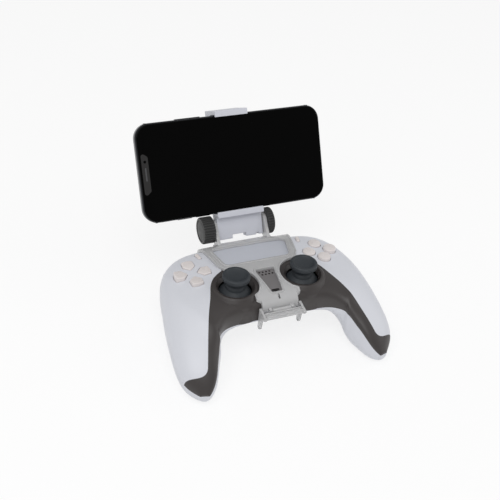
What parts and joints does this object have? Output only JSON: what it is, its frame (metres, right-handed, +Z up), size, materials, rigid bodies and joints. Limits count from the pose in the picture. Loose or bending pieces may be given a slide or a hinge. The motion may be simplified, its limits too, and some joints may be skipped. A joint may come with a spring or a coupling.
{
  "type": "game controller with phone holder",
  "caption": "Hand-held game controller with two grips, thumb sticks, keys and triggers, and a clip-on clear frame with a tilting sprung cradle that holds a phone.",
  "frame": {"origin": "on the ground plane below the middle of the controller, at the foot of its bounding box", "axes": "+X to the player's right, +Y away from the player, +Z up; the object stands on its grip tips and trigger tips"},
  "size_m": [0.1612, 0.1766, 0.1246],
  "materials": {
    "shell_white": "fine satin, cool white",
    "trim_dark": "satin, brown black",
    "key_cream": "satin, warm white",
    "mute_dark": "satin black",
    "stick_rubber": "fine grain, blue black",
    "knob_black": "satin, charcoal",
    "clear_plastic": "clear plastic, slightly milky",
    "light_bar": "milky diffuser",
    "holder_white": "satin, cool white",
    "pad_rubber": "matt grey",
    "steel": "turned steel",
    "module_plastic": "moulded black",
    "board_green": "coated board",
    "battery_wrap": "grey foil",
    "phone_frame": "dark grey polished band",
    "phone_black_glass": "black glass"
  },
  "bodies": {
    "controller": {"front_shell": "shell_white", "centre_trim": "trim_dark", "back_shell": "shell_white", "light_strips": "light_bar", "trigger_pins": "steel", "charging_port": "steel", "audio_jack": "module_plastic", "shell_screws": "steel", "main_board": "board_green", "battery": "battery_wrap", "battery_tray": "module_plastic", "speaker": "module_plastic", "key_boards": "board_green", "key_rubbers": "pad_rubber", "rumble_motors": "steel", "stick_modules": "module_plastic", "clamp_frame": "clear_plastic", "buckle_pin": "steel"},
    "button_right_key": {"button_right": "key_cream"},
    "button_rear_key": {"button_rear": "key_cream"},
    "button_left_key": {"button_left": "key_cream"},
    "button_front_key": {"button_front": "key_cream"},
    "pad_right_key": {"pad_right": "key_cream"},
    "pad_rear_key": {"pad_rear": "key_cream"},
    "pad_left_key": {"pad_left": "key_cream"},
    "pad_front_key": {"pad_front": "key_cream"},
    "small_button_left_key": {"small_button_left": "key_cream"},
    "small_button_right_key": {"small_button_right": "key_cream"},
    "mute_key": {"mute_button": "mute_dark"},
    "touch_plate": {"touchpad": "shell_white"},
    "bumper_left_key": {"bumper_left": "shell_white"},
    "bumper_right_key": {"bumper_right": "shell_white"},
    "trigger_left_lever": {"trigger_left": "shell_white"},
    "trigger_right_lever": {"trigger_right": "shell_white"},
    "stick_left_bail_body": {"stick_bail_left": "module_plastic"},
    "stick_left_shaft_body": {"stick_shaft_left": "steel"},
    "stick_left_cap_body": {"stick_cap_left": "stick_rubber"},
    "stick_right_bail_body": {"stick_bail_right": "module_plastic"},
    "stick_right_shaft_body": {"stick_shaft_right": "steel"},
    "stick_right_cap_body": {"stick_cap_right": "stick_rubber"},
    "rumble_left_body": {"rumble_weight_left": "steel"},
    "rumble_right_body": {"rumble_weight_right": "steel"},
    "buckle_body": {"frame_buckle": "clear_plastic"},
    "cradle_body": {"cradle": "holder_white", "cradle_pad": "pad_rubber", "jaw_springs": "steel", "phone_body": "phone_frame", "phone_glass": "phone_black_glass", "phone_back": "phone_black_glass", "phone_cameras": "phone_black_glass"},
    "jaw_body": {"top_jaw": "holder_white"},
    "knob_left_body": {"knob_left": "knob_black", "bolt_left": "steel"},
    "knob_right_body": {"knob_right": "knob_black", "bolt_right": "steel"},
    "phone_switch_body": {"phone_switch": "phone_frame"},
    "phone_key_one_body": {"phone_key_one": "phone_frame"},
    "phone_key_two_body": {"phone_key_two": "phone_frame"},
    "phone_side_key_body": {"phone_side_key": "phone_frame"}
  },
  "joints": [
    {"name": "button_right_press", "type": "slide", "parent": "controller", "child": "button_right_key", "axis": [0, -0.0802, -0.9968], "range_m": [0, 0.001], "stiffness_N_per_m": 600, "springref_m": -0.0005},
    {"name": "button_rear_press", "type": "slide", "parent": "controller", "child": "button_rear_key", "axis": [0, -0.0802, -0.9968], "range_m": [0, 0.001], "stiffness_N_per_m": 600, "springref_m": -0.0005},
    {"name": "button_left_press", "type": "slide", "parent": "controller", "child": "button_left_key", "axis": [0, -0.0802, -0.9968], "range_m": [0, 0.001], "stiffness_N_per_m": 600, "springref_m": -0.0005},
    {"name": "button_front_press", "type": "slide", "parent": "controller", "child": "button_front_key", "axis": [0, -0.0802, -0.9968], "range_m": [0, 0.001], "stiffness_N_per_m": 600, "springref_m": -0.0005},
    {"name": "pad_right_press", "type": "slide", "parent": "controller", "child": "pad_right_key", "axis": [0, -0.0802, -0.9968], "range_m": [0, 0.001], "stiffness_N_per_m": 600, "springref_m": -0.0005},
    {"name": "pad_rear_press", "type": "slide", "parent": "controller", "child": "pad_rear_key", "axis": [0, -0.0802, -0.9968], "range_m": [0, 0.001], "stiffness_N_per_m": 600, "springref_m": -0.0005},
    {"name": "pad_left_press", "type": "slide", "parent": "controller", "child": "pad_left_key", "axis": [0, -0.0802, -0.9968], "range_m": [0, 0.001], "stiffness_N_per_m": 600, "springref_m": -0.0005},
    {"name": "pad_front_press", "type": "slide", "parent": "controller", "child": "pad_front_key", "axis": [0, -0.0802, -0.9968], "range_m": [0, 0.001], "stiffness_N_per_m": 600, "springref_m": -0.0005},
    {"name": "small_button_left_press", "type": "slide", "parent": "controller", "child": "small_button_left_key", "axis": [0, -0.0802, -0.9968], "range_m": [0, 0.0007], "stiffness_N_per_m": 600, "springref_m": -0.0005},
    {"name": "small_button_right_press", "type": "slide", "parent": "controller", "child": "small_button_right_key", "axis": [0, -0.0802, -0.9968], "range_m": [0, 0.0007], "stiffness_N_per_m": 600, "springref_m": -0.0005},
    {"name": "mute_press", "type": "slide", "parent": "controller", "child": "mute_key", "axis": [0, -0.0802, -0.9968], "range_m": [0, 0.0005], "stiffness_N_per_m": 600, "springref_m": -0.0005},
    {"name": "touchpad_press", "type": "slide", "parent": "controller", "child": "touch_plate", "axis": [0, -0.0802, -0.9968], "range_m": [0, 0.0004], "stiffness_N_per_m": 1500, "springref_m": -0.0005},
    {"name": "bumper_left_press", "type": "slide", "parent": "controller", "child": "bumper_left_key", "axis": [0, -0.9968, 0.0802], "range_m": [0, 0.0008], "stiffness_N_per_m": 1200, "springref_m": -0.0005},
    {"name": "bumper_right_press", "type": "slide", "parent": "controller", "child": "bumper_right_key", "axis": [0, -0.9968, 0.0802], "range_m": [0, 0.0008], "stiffness_N_per_m": 1200, "springref_m": -0.0005},
    {"name": "trigger_left_pull", "type": "hinge", "parent": "controller", "child": "trigger_left_lever", "pos_m": [0, 0.00539, 0.02353], "axis": [-1, 0, 0], "range_deg": [0, 15], "stiffness_Nm_per_rad": 0.06, "springref_deg": -8.59},
    {"name": "trigger_right_pull", "type": "hinge", "parent": "controller", "child": "trigger_right_lever", "pos_m": [0, 0.00539, 0.02353], "axis": [-1, 0, 0], "range_deg": [0, 15], "stiffness_Nm_per_rad": 0.06, "springref_deg": -8.59},
    {"name": "stick_left_tilt_forward", "type": "hinge", "parent": "controller", "child": "stick_left_bail_body", "pos_m": [-0.0258, -0.0276, 0.0312], "axis": [1, 0, 0], "range_deg": [-13, 13], "stiffness_Nm_per_rad": 0.03},
    {"name": "stick_left_tilt_side", "type": "hinge", "parent": "stick_left_bail_body", "child": "stick_left_shaft_body", "pos_m": [-0.0258, -0.0276, 0.0312], "axis": [0, 0.9968, -0.0802], "range_deg": [-13, 13], "stiffness_Nm_per_rad": 0.03},
    {"name": "stick_left_press", "type": "slide", "parent": "stick_left_shaft_body", "child": "stick_left_cap_body", "axis": [0, -0.0802, -0.9968], "range_m": [0, 0.0005], "stiffness_N_per_m": 1500, "springref_m": -0.0005},
    {"name": "stick_right_tilt_forward", "type": "hinge", "parent": "controller", "child": "stick_right_bail_body", "pos_m": [0.0258, -0.0276, 0.0312], "axis": [1, 0, 0], "range_deg": [-13, 13], "stiffness_Nm_per_rad": 0.03},
    {"name": "stick_right_tilt_side", "type": "hinge", "parent": "stick_right_bail_body", "child": "stick_right_shaft_body", "pos_m": [0.0258, -0.0276, 0.0312], "axis": [0, 0.9968, -0.0802], "range_deg": [-13, 13], "stiffness_Nm_per_rad": 0.03},
    {"name": "stick_right_press", "type": "slide", "parent": "stick_right_shaft_body", "child": "stick_right_cap_body", "axis": [0, -0.0802, -0.9968], "range_m": [0, 0.0005], "stiffness_N_per_m": 1500, "springref_m": -0.0005},
    {"name": "rumble_left_spin", "type": "hinge", "parent": "controller", "child": "rumble_left_body", "pos_m": [-0.062, -0.04824, 0.01781], "axis": [0, 0.9968, -0.0802], "continuous": true},
    {"name": "rumble_right_spin", "type": "hinge", "parent": "controller", "child": "rumble_right_body", "pos_m": [0.062, -0.04824, 0.01781], "axis": [0, 0.9968, -0.0802], "continuous": true},
    {"name": "buckle_turn", "type": "hinge", "parent": "controller", "child": "buckle_body", "pos_m": [0, -0.05056, 0.03766], "axis": [-1, 0, 0], "range_deg": [0, 60]},
    {"name": "cradle_tilt", "type": "hinge", "parent": "controller", "child": "cradle_body", "pos_m": [0, 0.03353, 0.04655], "axis": [1, 0, 0], "range_deg": [-25, 35]},
    {"name": "jaw_lift", "type": "slide", "parent": "cradle_body", "child": "jaw_body", "axis": [0, 0.5135, 0.8581], "range_m": [0, 0.008], "stiffness_N_per_m": 250, "springref_m": -0.02},
    {"name": "knob_left_turn", "type": "hinge", "parent": "controller", "child": "knob_left_body", "pos_m": [-0.025, 0.03353, 0.04655], "axis": [-1, 0, 0], "continuous": true},
    {"name": "knob_right_turn", "type": "hinge", "parent": "controller", "child": "knob_right_body", "pos_m": [0.025, 0.03353, 0.04655], "axis": [1, 0, 0], "continuous": true},
    {"name": "phone_switch_slide", "type": "slide", "parent": "cradle_body", "child": "phone_switch_body", "axis": [0, -0.8581, 0.5135], "range_m": [0, 0.0008]},
    {"name": "phone_key_one_press", "type": "slide", "parent": "cradle_body", "child": "phone_key_one_body", "axis": [0, 0.5135, 0.8581], "range_m": [0, 0.0003], "stiffness_N_per_m": 600, "springref_m": -0.0005},
    {"name": "phone_key_two_press", "type": "slide", "parent": "cradle_body", "child": "phone_key_two_body", "axis": [0, 0.5135, 0.8581], "range_m": [0, 0.0003], "stiffness_N_per_m": 600, "springref_m": -0.0005},
    {"name": "phone_side_key_press", "type": "slide", "parent": "cradle_body", "child": "phone_side_key_body", "axis": [0, -0.5135, -0.8581], "range_m": [0, 0.0003], "stiffness_N_per_m": 600, "springref_m": -0.0005}
  ]
}
